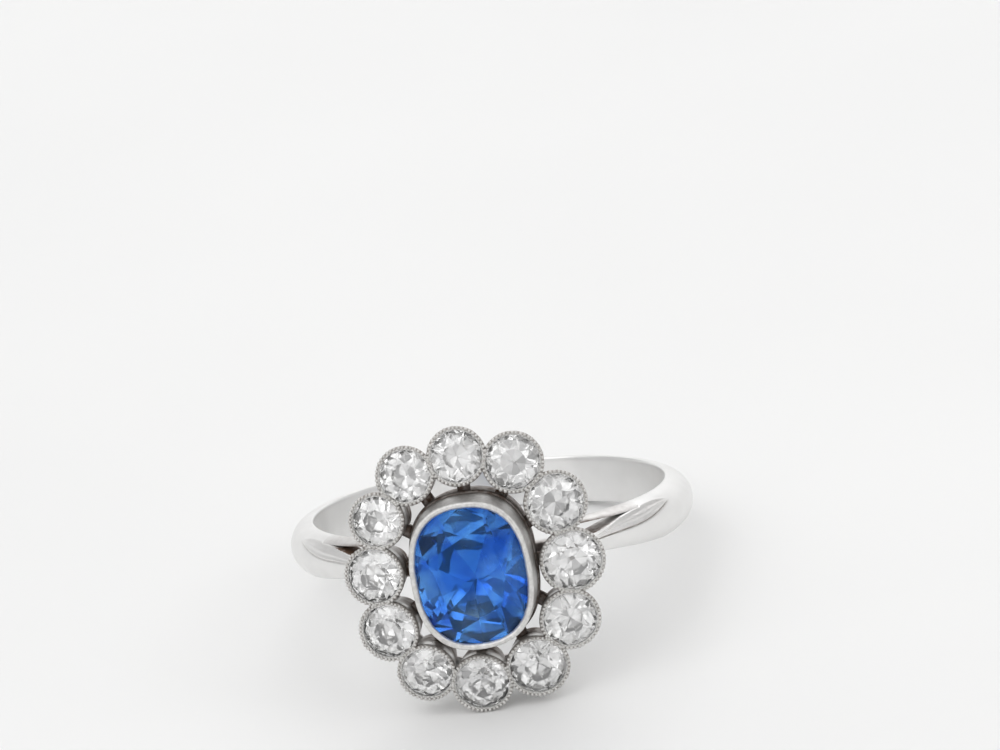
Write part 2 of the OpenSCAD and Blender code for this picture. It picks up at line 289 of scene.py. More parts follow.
patinaAndShadeLook = {
    "colour": (0.09, 0.046, 0.024), "patchScale": 3, "patches": (0.75, 1.15),
    "roughens": 0.3, "hides": 0.45,  # what full patina and painted shade add to the roughness and take off the metal
}


def platinumFinish(name, look):
    finish, tree, shader = newFinish(name)
    grimeAndShade = addNode(tree, "ShaderNodeAttribute", attribute_name="grimeAndShade").outputs["Fac"]
    tone = spread(tree, objectNoise(tree, look["toneScale"], detail=3), 0, 1)
    metal = blendColours(tree, tone, look["light"], look["dark"])
    patches = spread(tree, objectNoise(tree, patinaAndShadeLook["patchScale"], detail=4), *patinaAndShadeLook["patches"])
    # patina and painted shade: the grime share, broken into patches, mixes the metal towards dark brown
    soiledAndShaded = combine(tree, "MULTIPLY", grimeAndShade, patches)
    tree.links.new(blendColours(tree, soiledAndShaded, metal, patinaAndShadeLook["colour"]), shader.inputs["Base Color"])
    smears = spread(tree, objectNoise(tree, look["smearScale"], detail=4), look["smooth"], look["rough"])
    rough = combine(tree, "ADD", smears, combine(tree, "MULTIPLY", soiledAndShaded, patinaAndShadeLook["roughens"]))
    tree.links.new(rough, shader.inputs["Roughness"])
    bare = combine(tree, "SUBTRACT", look["metal"], combine(tree, "MULTIPLY", soiledAndShaded, patinaAndShadeLook["hides"]))
    tree.links.new(bare, shader.inputs["Metallic"])
    scratches = objectNoise(tree, look["scratchScale"], detail=5, stretch=look["scratchStretch"],
                            roughness=0.7)
    bump = addNode(tree, "ShaderNodeBump", Strength=look["bump"])
    bump.inputs["Distance"].default_value = look["bumpDepth"] * mm
    tree.links.new(scratches, bump.inputs["Height"])
    tree.links.new(bump.outputs["Normal"], shader.inputs["Normal"])
    return finish


platinum = {
    "polished": {
        "light": (0.84, 0.836, 0.828), "dark": (0.8, 0.796, 0.788), "metal": 1,
        "toneScale": 0.6, "smearScale": 1.6, "smooth": 0.28, "rough": 0.36,
        "scratchScale": 5, "scratchStretch": (1, 1, 4), "bump": 0.14, "bumpDepth": 0.004,
    },
    "handFinished": {
        "light": (0.76, 0.753, 0.74), "dark": (0.71, 0.702, 0.688), "metal": 0.95,
        "toneScale": 2.5, "smearScale": 4, "smooth": 0.26, "rough": 0.38,
        "scratchScale": 9, "scratchStretch": (1, 1, 1), "bump": 0.5, "bumpDepth": 0.014,
    },
    "satin": {
        "light": (0.76, 0.752, 0.738), "dark": (0.6, 0.592, 0.578), "metal": 0.7,
        "toneScale": 5, "smearScale": 4, "smooth": 0.3, "rough": 0.46,
        "scratchScale": 9, "scratchStretch": (1, 1, 2), "bump": 0.5, "bumpDepth": 0.02,
    },
    "beaded": {
        "light": (0.7, 0.69, 0.675), "dark": (0.52, 0.51, 0.49), "metal": 0.95,
        "toneScale": 4, "smearScale": 6, "smooth": 0.34, "rough": 0.5,
        "scratchScale": 8, "scratchStretch": (1, 1, 1), "bump": 0.3, "bumpDepth": 0.006,
    },
}
polishedPlatinum = platinumFinish("polishedPlatinum", platinum["polished"])
handFinishedPlatinum = platinumFinish("handFinishedPlatinum", platinum["handFinished"])
satinPlatinum = platinumFinish("satinPlatinum", platinum["satin"])
beadedPlatinum = platinumFinish("beadedPlatinum", platinum["beaded"])

stoneLooks = {
    "diamond": {
        "clear": (1, 1, 1), "cloudy": (0.95, 0.95, 0.94), "zone": 1.5,  # two tones, and zones per mm
        "pure": 0.91,  # the rest is fine cloud, which scatters
        "ior": 2.417, "rough": 0.0, "sheen": (1, 1, 1), "polish": 0.5,
    },
    "sapphire": {
        "clear": (0.67, 0.92, 1), "cloudy": (0.05, 0.16, 0.64), "zone": 0.6,
        "deepens": (-0.4, 0.4), "heights": (0.0045, 0.0095),  # towards the second tone, between heights in m
        "body": (0.06, 0.555, 0.93), "density": 335,  # the colour that the depth of the stone gives to light
        "pure": 0.94,
        "ior": 1.77, "rough": 0.02, "sheen": (0.12, 0.4, 1), "polish": 0.85,
    },
}


def stoneFinish(name, look):
    finish, tree, shader = newFinish(name)
    shader.inputs["Transmission Weight"].default_value = look["pure"]
    shader.inputs["IOR"].default_value = look["ior"]
    shader.inputs["Specular Tint"].default_value = (*look["sheen"], 1)
    shader.inputs["Specular IOR Level"].default_value = look["polish"]
    shader.inputs["Roughness"].default_value = look["rough"]
    zones = spread(tree, objectNoise(tree, look["zone"], detail=2), 0, 1)
    if "deepens" in look:
        split = addNode(tree, "ShaderNodeSeparateXYZ")
        tree.links.new(addNode(tree, "ShaderNodeTexCoord").outputs["Object"], split.inputs[0])
        deeper = spread(tree, split.outputs["Z"], *look["deepens"], *look["heights"])
        zones = combine(tree, "ADD", zones, deeper)
    tree.links.new(blendColours(tree, zones, look["clear"], look["cloudy"]), shader.inputs["Base Color"])
    if "body" in look:
        body = addNode(tree, "ShaderNodeVolumeAbsorption", Density=look["density"])
        body.inputs["Color"].default_value = (*look["body"], 1)
        tree.links.new(body.outputs["Volume"], tree.nodes["Material Output"].inputs["Volume"])
    return finish


diamondFinish = stoneFinish("oldCutDiamond", stoneLooks["diamond"])
sapphireFinish = stoneFinish("blueSapphire", stoneLooks["sapphire"])
print("materials made")

centre = {  # mm, heights from the middle of the finger hole, facets as shares of the outline
    "width": 5.25, "length": 6.6, "power": 2.5, "turn": 2.4,
    "girdle": 12.38, "crown": 0.66, "pavilion": 2.5, "girdleWidth": 0.07,
    "table": 0.6, "star": 0.82, "lower": 0.62, "lowerRise": 0.93, "culet": 0.05, "culetCut": 0.06,
    "culetShift": (0.06, -0.4),  # the old cut is off its middle
    "handCut": 2.2,  # degrees that a facet may be off true
    "outlinePoints": 96, "seed": 8,
    "wall": 0.27,  # of its collet
}
patinaAndShadePlaces = {  # each is clean at its first number and fully darkened by patina and painted shade at its second
    "near": (1.45, 1.12), "ownWall": 1.04,  # shares of the centre collet's outline
    "depth": (11.1, 10.3), "floor": (8.3, 9.3),  # heights between the collets
    "wallDepth": (11.4, 10.6), "wallShare": 0.8,
}
creaseAngle = math.radians(38)
brightInside = -1  # marks the clean inside of a collet


def patinaAndShadeAt(place):  # dark patina and painted shade lie deep between the centre collet and the halo, and low on the centre collet's own wall
    point = toHead @ place
    wide, long = centre["width"] + 2 * centre["wall"], centre["length"] + 2 * centre["wall"]
    near = cushionShare(wide, long, centre["power"], point.xy)
    deep = eased(*patinaAndShadePlaces["floor"], point.z)
    if near < patinaAndShadePlaces["ownWall"]:
        return deep * patinaAndShadePlaces["wallShare"] * eased(*patinaAndShadePlaces["wallDepth"], point.z)
    return deep * eased(*patinaAndShadePlaces["near"], near) * eased(*patinaAndShadePlaces["depth"], point.z)


def addPiece(name, bm, space, finish, slotName, node, flat=False):
    bmesh.ops.recalc_face_normals(bm, faces=bm.faces)
    for edge in bm.edges:
        edge.smooth = edge.is_manifold and edge.calc_face_angle(0) < creaseAngle
    for face in bm.faces:
        face.smooth = not flat
    bm.transform(space)
    if slotName == "platinum":
        # patina and painted shade, worked out from each vertex's place, are added to its grime share
        layer = bm.verts.layers.float.get("grimeAndShade") or bm.verts.layers.float.new("grimeAndShade")
        for vert in bm.verts:
            vert[layer] = 0 if vert[layer] == brightInside else max(vert[layer], patinaAndShadeAt(vert.co))
    mesh = bpy.data.meshes.new(name)
    bm.to_mesh(mesh)
    bm.free()
    mesh.materials.append(finish)
    piece = bpy.data.objects.new(name, mesh)
    bpy.context.collection.objects.link(piece)
    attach(piece, "root")
    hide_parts(node)


def addMetal(name, bm, space, finish):
    addPiece(name, bm, space, finish, "platinum", "setting")


leaf = {  # angles from the middle of the head in degrees, the rest in mm
    # heights of its lower and upper edge by angle
    "low": [(33, 0.1), (37.8, 0.2), (45, 0.27), (49, 0.29),
            (53.3, 0.34), (57, 0.42), (62.3, 0.58), (68.8, 0.79)],
    "high": [(33, 0.24), (36, 0.34), (41, 0.57), (45.4, 0.76),
             (49.5, 0.85), (55.6, 0.95), (62, 0.95), (68.8, 0.81)],
    "starts": (30, 36), "ends": (69.5, 65),  # no carving at the first angle, full carving at the second
    "rise": 0.035, "edge": 0.09, "leastWidth": 0.03,
    "scoop": 0.045, "scoopWidth": 0.35,  # a narrower leaf has shallower scoops
    "lineDepth": 0.07, "lineWidth": 0.035, "lineBelow": 0.05,
    "toolMarks": 0.016, "markScale": (0.35, 14),
    "lineSoilAndShade": 0.7, "scoopSoilAndShade": (0.1, 0.17),  # shares of patina and painted shade, in the carved line and in the lower and the upper scoop
    "leftShare": 0.5,  # the left shoulder is carved half as deep
}


def leafRelief(angle, height):  # how far the carving lifts the surface, and its patina and painted shade
    low, high = alongCurve(leaf["low"], angle), alongCurve(leaf["high"], angle)
    present = eased(*leaf["ends"], angle) * eased(*leaf["starts"], angle)
    across = (height - low) / max(high - low, leaf["leastWidth"])
    scoop = leaf["scoop"] * min(1, (high - low) / leaf["scoopWidth"])
    if 0 <= across <= 1:
        lift = leaf["rise"] - scoop * math.sin(math.tau * across) ** 2
        marks = Vector((angle * leaf["markScale"][0], height * leaf["markScale"][1], 0))
        lift += leaf["toolMarks"] * noise.noise(marks)
        soilAndShade = present * leaf["scoopSoilAndShade"][1 if across > 0.5 else 0]
    else:
        beyond = (low - height) if across < 0 else (height - high)
        lift = leaf["rise"] * eased(leaf["edge"], 0, beyond)
        soilAndShade = 0
    line = math.exp(-((height - low + leaf["lineBelow"]) / leaf["lineWidth"]) ** 2)
    return present * (lift - leaf["lineDepth"] * line), max(leaf["lineSoilAndShade"] * present * line, soilAndShade)


shank = {
    "fingerRadius": 8.6, "middleRadius": 8.68, "tubeRadius": 1.17,
    "end": 28,  # degrees from the middle of the head
    # heights by angle: foot of the pierced slot, and underside
    "slotFoot": [(28, 0.38), (33, 0.42), (36, 0.49), (41, 0.66), (46, 0.82), (50, 0.885), (55, 0.905)],
    "underside": [(28, -0.4), (37, -0.52), (45, -0.64), (52, -0.77), (62, -0.93), (70, -1.1), (78, -1.17)],
    "slotCloses": (54.6, 56), "closedTop": 2,  # past these angles the section is whole
    "slotUntil": 55, "slotFloor": 0.02,
    "slotSoilAndShade": {1: (0.85, 49, 34), -1: (1.15, 52, 43)},  # patina and painted shade in the slot by side: share, angles where clean and full
    "carvedFrom": 0.1,  # mm out from the section's middle, so that the inner wall stays plain
    "fineStep": 0.45, "coarseStep": 2.5, "fineUntil": 76,
    "arcSteps": 90, "innerPoints": 18, "outerPoints": 104,
}


def onRing(angle, side, radius, height):  # angle from the head, side 1 right and -1 left
    return Vector((side * radius * math.sin(angle), -radius * math.cos(angle), height))


def tubeArc(high, low, steps):  # along the shank's round outside, from one angle to the other
    middle, tube = shank["middleRadius"], shank["tubeRadius"]
    turns = [high + (low - high) * k / steps for k in range(steps + 1)]
    return [Vector((middle + tube * math.cos(turn), tube * math.sin(turn))) for turn in turns]


def shankSection(top, bottom):
    tube, inner, middle = shank["tubeRadius"], shank["fingerRadius"], shank["middleRadius"]
    whole = math.acos((inner - middle) / tube)
    limit = tube * math.sin(whole)
    high = whole if top >= limit else math.asin(top / tube)
    low = -whole if bottom <= -limit else math.asin(bottom / tube)
    top, bottom = min(top, limit), max(bottom, -limit)
    outside = [Vector((inner, top))] + tubeArc(high, low, shank["arcSteps"]) + [Vector((inner, bottom))]
    count = shank["innerPoints"]
    wall = [Vector((inner, bottom + (top - bottom) * k / (count + 1))) for k in range(1, count + 1)]
    return softened(spacedEvenly(outside, shank["outerPoints"]) + wall, 3)


def buildShank():
    angles, angle = [], shank["end"]
    while angle < 180:
        angles.append(angle)
        angle += shank["fineStep"] if angle < shank["fineUntil"] else shank["coarseStep"]
    stations = [(a, 1) for a in angles] + [(180, 1)] + [(a, -1) for a in reversed(angles)]
    sections, soilsAndShade = [], []
    for angle, side in stations:
        carving = 1 if side > 0 else leaf["leftShare"]
        slotSoilAndShade, clean, full = shank["slotSoilAndShade"][side]
        foot = alongCurve(shank["slotFoot"], angle)
        top = foot + (shank["closedTop"] - foot) * eased(*shank["slotCloses"], angle)
        section, soilAndShade = [], []
        for point in shankSection(top, alongCurve(shank["underside"], angle)):
            amount = 0.0
            if angle < leaf["ends"][0] and point.x > shank["middleRadius"] + shank["carvedFrom"]:
                lift, dull = leafRelief(angle, point.y)
                out = Vector((point.x - shank["middleRadius"], point.y)).normalized()
                point = point + out * lift * carving
                amount = dull * carving
            # painted shade and patina in the pierced slot, darker towards the head
            if angle < shank["slotUntil"] and point.y > foot - shank["slotFloor"]:
                amount = max(amount, slotSoilAndShade * eased(clean, full, angle))
            section.append(onRing(math.radians(angle), side, point.x, point.y))
            soilAndShade.append(amount)
        sections.append(section)
        soilsAndShade.append(soilAndShade)
    addMetal("shank", loftSoiledAndShaded(sections, soilsAndShade), ringSpace, polishedPlatinum)


shoulderWire = {  # the thin upper strand beside the pierced slot
    "from": 59, "until": 29, "step": 0.75,  # degrees from the middle of the head
    "underside": 0.9, "rise": 0.05, "riseFrom": (50, 33),
    "tip": 0.95, "swell": 0.05, "fullAt": 56,  # its end is a little thinner
    "tone": 0.26, "toneFrom": (58, 50), "soilAndShade": 0.75, "soilAndShadeHeight": 0.14,  # shares of patina and painted shade, darker towards the head and towards the underside
    "arcSteps": 40, "points": 45,
}


def buildShoulderWire(name, side):
    inner, middle, tube = shank["fingerRadius"], shank["middleRadius"], shank["tubeRadius"]
    sections, soilsAndShade = [], []
    angle = shoulderWire["from"]
    while angle >= shoulderWire["until"]:
        towardsHead = eased(*shoulderWire["riseFrom"], angle)
        floor = shoulderWire["underside"] + shoulderWire["rise"] * towardsHead
        arc = tubeArc(math.acos((inner - middle) / tube), math.asin(floor / tube), shoulderWire["arcSteps"])
        loop = spacedEvenly(arc + [Vector((inner, floor)), arc[0]], shoulderWire["points"])[:-1]
        loop = softened(loop, 2)
        heart = sum(loop, Vector((0, 0))) / len(loop)
        thick = eased(shoulderWire["from"], shoulderWire["fullAt"], angle)
        scale = shoulderWire["tip"] + shoulderWire["swell"] * thick
        loop = [heart + (p - heart) * scale for p in loop]
        sections.append([onRing(math.radians(angle), side, p.x, p.y) for p in loop])
        # painted shade and patina, darker towards the head and towards the strand's underside
        tone = shoulderWire["tone"] * eased(*shoulderWire["toneFrom"], angle)
        cleanFrom = floor + shoulderWire["soilAndShadeHeight"]
        soilsAndShade.append([tone + shoulderWire["soilAndShade"] * towardsHead * eased(cleanFrom, floor, p.y) for p in loop])
        angle -= shoulderWire["step"]
    addMetal(name, loftSoiledAndShaded(sections, soilsAndShade), ringSpace, polishedPlatinum)


bearer = {"inner": 8.61, "outer": 9.5, "half": 0.5, "reach": 32, "step": 2, "corner": 0.14}


def buildBearer():
    bm = bmesh.new()
    outline = roundedBox((bearer["inner"], -bearer["half"]), (bearer["outer"], bearer["half"]),
                         bearer["corner"])
    loft(bm, [[onRing(math.radians(angle), 1, p.x, p.y) for p in outline]
              for angle in range(-bearer["reach"], bearer["reach"] + 1, bearer["step"])])
    addMetal("bearerArc", bm, ringSpace, polishedPlatinum)


buildShank()
buildShoulderWire("shoulderWireRight", 1)
buildShoulderWire("shoulderWireLeft", -1)
buildBearer()
print("shank and shoulders built")

halo = {
    "width": 9.32, "length": 10.9, "power": 2.34, "girdle": 11, "lean": 13,
    "wall": 0.19, "shift": -0.1, "gap": 0.1,
    "diameters": [2.5, 2.6, 2.7, 2.8, 2.6, 2.7, 2.6, 2.5, 2.6, 2.6, 2.4, 2.5],  # clockwise from the top
}


def haloSpaces():
    wide, long, power = halo["width"], halo["length"], halo["power"]
    sizes = halo["diameters"]
    runs = [0.0]
    for i, size in enumerate(sizes):
        runs.append(runs[-1] + (size + sizes[(i + 1) % len(sizes)]) / 2 + halo["gap"])
    steps = 720
    total = runLengths([cushionPoint(wide, long, power, math.tau * i / steps) for i in range(steps + 1)])[-1]
    spaces = []
    for angle in anglesAt(wide, long, power, [run / runs[-1] + halo["shift"] / total for run in runs[:-1]]):
        point = cushionPoint(wide, long, power, angle)
        out = cushionNormal(wide, long, power, point)
        spaces.append(Matrix.Translation((point.x, point.y, halo["girdle"]))
                      @ Matrix.Rotation(math.atan2(out.y, out.x), 4, "Z")
                      @ Matrix.Rotation(math.radians(halo["lean"]), 4, "Y"))
    return spaces


stoneSpaces = haloSpaces()

collet = {
    "baseRadius": 1.0, "depth": 2.1, "holeRadius": 0.66, "steps": 96,
    "wave": 0.012, "waveScale": 1.6, "waveShift": 9,  # the hand of the maker shows in the rims
    "bead": (0.11, 0.097, 0.097),  # half sizes across the rim, along it and up
    "beadRing": 0.095, "beadHeight": 0.24, "beadPitch": 0.2, "beadDrift": 0.12, "beadLeast": 0.82,
    # dirt and painted shade on the rim between the beads
    "beadDirtAndShade": 0.55, "dirtAndShadeHeight": 0.1, "dirtAndShadeRing": 0.05,
    "seed": 12,
}


def colletProfile(radius):  # half section round the stone's axis, girdle at height 0, outside and inside
    base, depth, inner = collet["baseRadius"], collet["depth"], collet["holeRadius"]
    edge = radius + halo["wall"]
    flank = [(base + (edge - 0.03 - base) * k / 8, -depth + depth * k / 8) for k in range(9)]
    rim = [(edge - 0.012, 0.12), (edge - 0.03, 0.175), (edge - 0.07, 0.21), (radius + 0.07, 0.228),
           (radius + 0.025, 0.24), (radius - 0.01, 0.235), (radius - 0.03, 0.205), (radius - 0.03, 0.15)]
    seat = [(radius + 0.03, 0.08), (radius + 0.03, -0.12), (radius - 0.25, -0.43), (radius - 0.5, -0.74)]
    back = [(inner, -0.8), (inner, -1.4), (inner, -depth + 0.03), (inner + 0.03, -depth),
            (base - 0.03, -depth)]
    return flank + rim, seat + back


def buildCollet(name, radius, space, wavePlace):
    outside, inside = colletProfile(radius)
    profile = outside + inside
    bm = bmesh.new()
    soilAndShade = bm.verts.layers.float.new("grimeAndShade")
    for row in revolve(bm, profile, space, collet["steps"]):
        for k, (vert, (r, z)) in enumerate(zip(row, profile)):
            if z > collet["dirtAndShadeHeight"] and r > radius + collet["dirtAndShadeRing"]:  # dirt and painted shade stay between the beads
                vert[soilAndShade] = collet["beadDirtAndShade"]
            elif k >= len(outside):
                vert[soilAndShade] = brightInside
    for vert in bm.verts:
        vert.co += waver(vert.co * collet["waveScale"] + wavePlace) * collet["wave"]
    addMetal(name, bm, headSpace, handFinishedPlatinum)


def isShared(i, spot):  # where two collets join, the earlier one carries the beads
    for n in ((i - 1) % len(stoneSpaces), (i + 1) % len(stoneSpaces)):
        reach = halo["diameters"][n] / 2 + collet["beadRing"]
        if n < i and (stoneSpaces[n].inverted() @ spot.translation).xy.length < reach:
            return True
    return False


def buildMilgrain(name, i, radius, space, dice):
    bm = bmesh.new()
    ring = radius + collet["beadRing"]
    count = round(math.tau * ring / collet["beadPitch"])
    for k in range(count):
        turn = math.tau * (k + dice.uniform(-collet["beadDrift"], collet["beadDrift"])) / count
        spot = space @ Matrix.Rotation(turn, 4, "Z") @ Matrix.Translation((ring, 0, collet["beadHeight"]))
        if isShared(i, spot):
            continue
        grain = [half * dice.uniform(collet["beadLeast"], 1) for half in collet["bead"]]
        bmesh.ops.create_icosphere(bm, subdivisions=2, radius=1, matrix=spot @ Matrix.Diagonal((*grain, 1)))
    addMetal(name, bm, headSpace, beadedPlatinum)


def buildCollets():
    dice = random.Random(collet["seed"])
    for i, (size, space) in enumerate(zip(halo["diameters"], stoneSpaces)):
        buildCollet("collet_%02d" % (i + 1), size / 2, space, Vector((i * collet["waveShift"], 0, 0)))
        buildMilgrain("milgrain_%02d" % (i + 1), i, size / 2, space, dice)


buildCollets()
print("halo collets and milgrain built")

bezel = {
    # off the stone's outline and height: outer wall and rubbed-over rim, then seat and inner wall
    "outside": [(0.2, 8.9), (0.25, 8.94), (0.265, 9.3), (0.28, 10), (0.29, 10.7), (0.29, 11.4), (0.27, 12),
                (0.25, 12.4), (0.243, 12.53), (0.232, 12.59), (0.205, 12.635), (0.16, 12.66), (0.11, 12.67),
                (0.05, 12.655), (0, 12.62), (-0.04, 12.57), (-0.055, 12.52)],
    "inside": [(-0.05, 12.475), (0.03, 12.43), (0.03, 12.08), (-0.25, 12.05), (-0.25, 11), (-0.25, 8.94),
               (-0.22, 8.9)],
    "steps": 240,
    "waveAbove": 12.2, "wave": 0.016, "waveScale": 1.3, "file": 0.01, "fileScale": 5,
    "footWire": 10.55, "footWireRadius": 0.13, "footWirePoints": 14,
}


def centreRing(offset, height, angle):
    point = cushionPoint(centre["width"] + 2 * offset, centre["length"] + 2 * offset, centre["power"], angle)
    return Vector((point.x, point.y, height))


def buildCentreCollet():
    turned = headSpace @ Matrix.Rotation(math.radians(centre["turn"]), 4, "Z")
    angles = evenAngles(centre["width"], centre["length"], centre["power"], bezel["steps"])
    profile = bezel["outside"] + bezel["inside"]
    bm = bmesh.new()
    soilAndShade = bm.verts.layers.float.new("grimeAndShade")
    sections = [[centreRing(offset, height, angle) for offset, height in profile] for angle in angles]
    for row in loft(bm, sections, closedPath=True):
        for vert in row[len(bezel["outside"]):]:
            vert[soilAndShade] = brightInside
    for vert in bm.verts:
        if vert.co.z > bezel["waveAbove"]:
            vert.co += (waver(vert.co * bezel["waveScale"]) * bezel["wave"]
                        + waver(vert.co * bezel["fileScale"]) * bezel["file"])
    addMetal("centreCollet", bm, turned, satinPlatinum)
    wire = [(centre["wall"] + x, bezel["footWire"] + y)
            for x, y in circle(bezel["footWireRadius"], bezel["footWirePoints"])]
    bm = bmesh.new()
    sections = [[centreRing(offset, height, angle) for offset, height in wire] for angle in angles]
    loft(bm, sections, closedPath=True)
    addMetal("centreFootWire", bm, turned, polishedPlatinum)


gallery = {
    "low": 8.92, "high": 9.3, "outer": -0.02, "inner": -0.72, "corner": 0.12, "steps": 160,
    "barWidth": 0.62, "barLow": 9.75, "barHigh": 10.25, "barIn": 0.1, "barOut": 1.05, "barCorner": 0.16,
    "posts": {"postRight": 3, "postLeft": 9},  # the collets that they carry, counted from 0
    "postRadius": 0.75, "postLow": -2.9, "postHigh": -1.1, "postDirtAndShade": 0.9, "postSteps": 48,
    "postFoot": [(0.8, 0), (0.95, 0.04), (1, 0.12)],  # share of the radius and rise
}


def buildRail():
    bm = bmesh.new()
    outline = roundedBox((gallery["inner"], gallery["low"]), (gallery["outer"], gallery["high"]),
                         gallery["corner"])
    sections = []
    for angle in evenAngles(halo["width"], halo["length"], halo["power"], gallery["steps"]):
        section = []
        for p in outline:
            spot = cushionPoint(halo["width"] + 2 * p.x, halo["length"] + 2 * p.x, halo["power"], angle)
            section.append(Vector((spot.x, spot.y, p.y)))
        sections.append(section)
    loft(bm, sections, closedPath=True)
    addMetal("galleryRail", bm, headSpace, polishedPlatinum)


def buildBar(name, middle):  # from the centre collet to the halo collet at that place
    out = cushionNormal(halo["width"], halo["length"], halo["power"], middle)
    bearing = math.atan2(out.y, out.x)
    start = atPolar(centre["width"], centre["length"], centre["power"], bearing).length + gallery["barIn"]
    end = middle.length - gallery["barOut"]
    half = gallery["barWidth"] / 2
    outline = roundedBox((-half, gallery["barLow"]), (half, gallery["barHigh"]), gallery["barCorner"], 4)
    aim = Matrix.Rotation(math.atan2(middle.y, middle.x), 4, "Z")
    bm = bmesh.new()
    loft(bm, [[aim @ Vector((x, p.x, p.y)) for p in outline] for x in (start, (start + end) / 2, end)])
    addMetal(name, bm, headSpace, polishedPlatinum)


def buildPost(name, space):
    radius, low, high = gallery["postRadius"], gallery["postLow"], gallery["postHigh"]
    rings = [(radius * share, low + rise) for share, rise in gallery["postFoot"]] + [(radius, high)]
    sections = [[space @ Vector((x, y, z)) for x, y in circle(r, gallery["postSteps"])] for r, z in rings]
    # the posts under the halo are darkened all over: dirt and painted shade
    soilsAndShade = [[gallery["postDirtAndShade"]] * gallery["postSteps"] for _ in rings]
    addMetal(name, loftSoiledAndShaded(sections, soilsAndShade), headSpace, polishedPlatinum)


buildCentreCollet()
buildRail()
for i, space in enumerate(stoneSpaces):
    buildBar("bar_%02d" % (i + 1), space.translation.xy)
for name, i in gallery["posts"].items():
    buildPost(name, stoneSpaces[i])
print("centre collet and gallery built")


def planeThrough(a, b, c):
    normal = (b - a).cross(c - a).normalized()
    return a, normal if normal.dot(a) > 0 else -normal  # outwards, the stone's middle is at the origin


def cutGem(outline, planes, top, bottom):
    tiny, slip = 1e-5, 0.002  # mm, how near a point counts as on the plane, and as the same point
    bm = bmesh.new()
    loft(bm, [[Vector((p.x, p.y, z)) for p in outline] for z in (bottom, top)])
    for point, normal in planes:
        everything = bm.verts[:] + bm.edges[:] + bm.faces[:]
        cut = bmesh.ops.bisect_plane(bm, geom=everything, dist=tiny, plane_co=point, plane_no=normal,
                                     clear_outer=True)
        edges = [e for e in cut["geom_cut"] if isinstance(e, bmesh.types.BMEdge)]
        if len(edges) > 2:
            bmesh.ops.contextual_create(bm, geom=edges)
    bmesh.ops.remove_doubles(bm, verts=bm.verts, dist=slip)
    return bm


def gemPlanes(gem, dice):
    wide, long, power = gem["width"], gem["length"], gem["power"]
    half, crown, pavilion, mains = gem["girdleWidth"] / 2, gem["crown"], gem["pavilion"], 8

    def rim(step, share, height):  # a point at sixteenths of a turn, at a share of the outline
        spot = atPolar(wide, long, power, math.tau * step / (2 * mains)) * share
        return Vector((spot.x, spot.y, height))

    def meet(share, inner, rise):  # height where a pair of neighbouring facets meets
        return rise * (1 - share * math.cos(math.pi / mains)) / (1 - inner)

    culet = Vector((*gem["culetShift"], -pavilion))
    starHeight = half + meet(gem["star"], gem["table"], crown - half)
    lowerHeight = -half - meet(gem["lower"], gem["culet"], pavilion - half) * gem["lowerRise"]
    facets = []
    for s in range(0, 2 * mains, 2):
        table, nextTable = rim(s, gem["table"], crown), rim(s + 2, gem["table"], crown)
        girdle, nextGirdle, lastGirdle = (rim(s + k, 1, half) for k in range(3))
        low, nextLow, lastLow = (rim(s + k, 1, -half) for k in range(3))
        star, lower = rim(s + 1, gem["star"], starHeight), rim(s + 1, gem["lower"], lowerHeight)
        out = cushionNormal(wide, long, power, girdle.xy)
        across = Vector((-out.y, out.x, 0))
        facets += [(girdle, table, girdle + across), (table, nextTable, star),
                   (girdle, nextGirdle, star), (lastGirdle, nextGirdle, star),
                   (low, culet, low + across),
                   (low, nextLow, lower), (lastLow, nextLow, lower)]
    planes = [(Vector((0, 0, crown)), Vector((0, 0, 1))),
              (Vector((0, 0, gem["culetCut"] - pavilion)), Vector((0, 0, -1)))]
    for facet in facets:
        point, normal = planeThrough(*facet)
        axis = Vector([dice.uniform(-1, 1) for _ in range(3)]).normalized()
        offTrue = math.radians(dice.uniform(0, gem["handCut"]))
        planes.append((point, Matrix.Rotation(offTrue, 3, axis) @ normal))
    return planes


def buildGem(name, gem, space, finish, slotName, node, dice):
    spare = 0.1  # the uncut stone is this much higher and deeper
    angles = evenAngles(gem["width"], gem["length"], gem["power"], gem["outlinePoints"])
    outline = [cushionPoint(gem["width"], gem["length"], gem["power"], angle) for angle in angles]
    bm = cutGem(outline, gemPlanes(gem, dice), gem["crown"] + spare, -gem["pavilion"] - spare)
    addPiece(name, bm, space, finish, slotName, node, flat=True)


oldCut = {  # sizes as shares of the radius
    "table": 0.5, "star": 0.77, "lower": 0.66, "lowerRise": 1, "culet": 0.1,
    "crown": 0.36, "pavilion": 0.84, "girdleWidth": 0.06, "culetCut": 0.02, "culetShift": 0.05,
    "handCut": 2.2, "outlinePoints": 64, "seed": 5,
    "twist": 37, "twistRange": 45,  # degrees, no two sit alike
}


def buildHaloStones():
    dice = random.Random(oldCut["seed"])
    for i, (size, space) in enumerate(zip(halo["diameters"], stoneSpaces)):
        gem = dict(oldCut, width=size, length=size, power=2)
        for key in ("crown", "pavilion", "girdleWidth", "culetCut"):
            gem[key] *= size / 2
        gem["culetShift"] = [dice.uniform(-1, 1) * oldCut["culetShift"] * size / 2 for _ in range(2)]
        twist = math.radians(oldCut["twist"] * i % oldCut["twistRange"])
        turned = headSpace @ space @ Matrix.Rotation(twist, 4, "Z")
        buildGem("haloStone_%02d" % (i + 1), gem, turned, diamondFinish, "white_stone",
                 "diamond_%02d" % (i + 1), dice)


sapphireSpace = (headSpace @ Matrix.Translation((0, 0, centre["girdle"]))
                 @ Matrix.Rotation(math.radians(centre["turn"]), 4, "Z"))
buildGem("centreSapphire", centre, sapphireSpace, sapphireFinish, "blue_stone", "sapphire",
         random.Random(centre["seed"]))
buildHaloStones()
print("stones cut")

